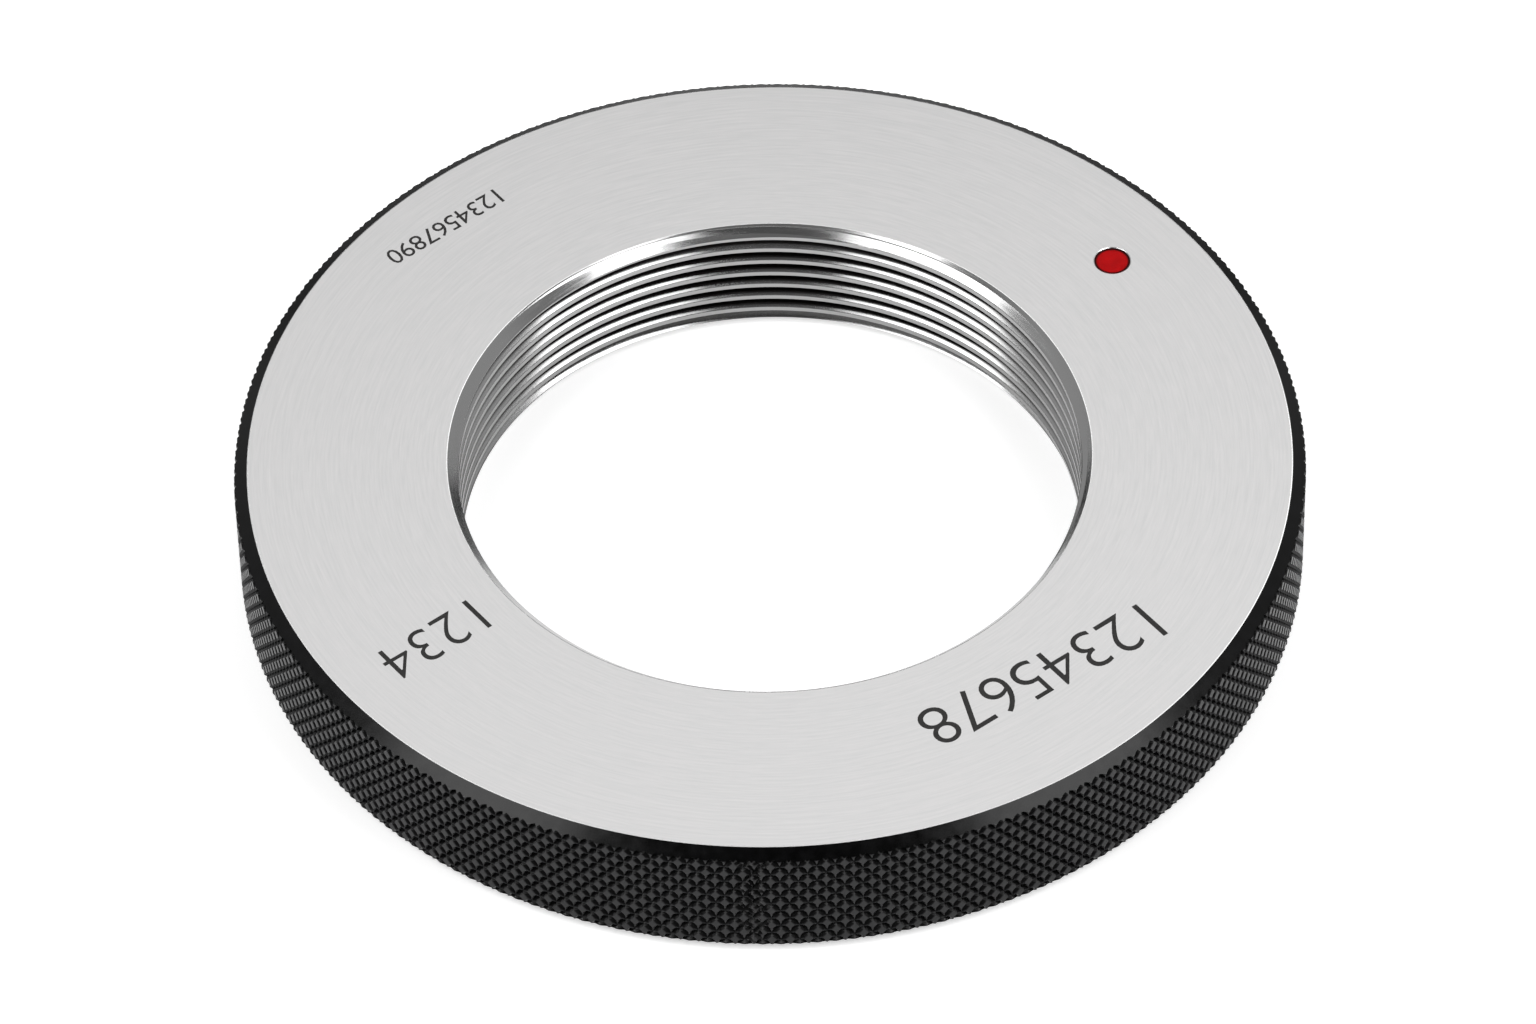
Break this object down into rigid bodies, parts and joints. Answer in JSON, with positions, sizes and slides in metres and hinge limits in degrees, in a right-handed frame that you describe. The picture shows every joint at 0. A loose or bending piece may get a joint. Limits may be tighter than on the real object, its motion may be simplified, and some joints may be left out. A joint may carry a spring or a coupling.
{
  "type": "thread ring gauge",
  "caption": "Flat steel ring with a ground face, a knurled black rim and a threaded bore, screwed onto a bolt or shaft to test its thread.",
  "frame": {"origin": "centre of the bore in the plane of the lower face", "axes": "+Z along the bore axis towards the marked face; +X to the right when the ring is seen as in the picture"},
  "size_m": [0.125, 0.125, 0.016],
  "materials": {
    "ground_steel": "surface-ground hardened tool steel, black oxide on the knurled rim",
    "red_enamel": "glossy red enamel fill"
  },
  "bodies": {
    "root": {"gauge_ring": "ground_steel", "red_mark": "red_enamel"}
  },
  "joints": []
}
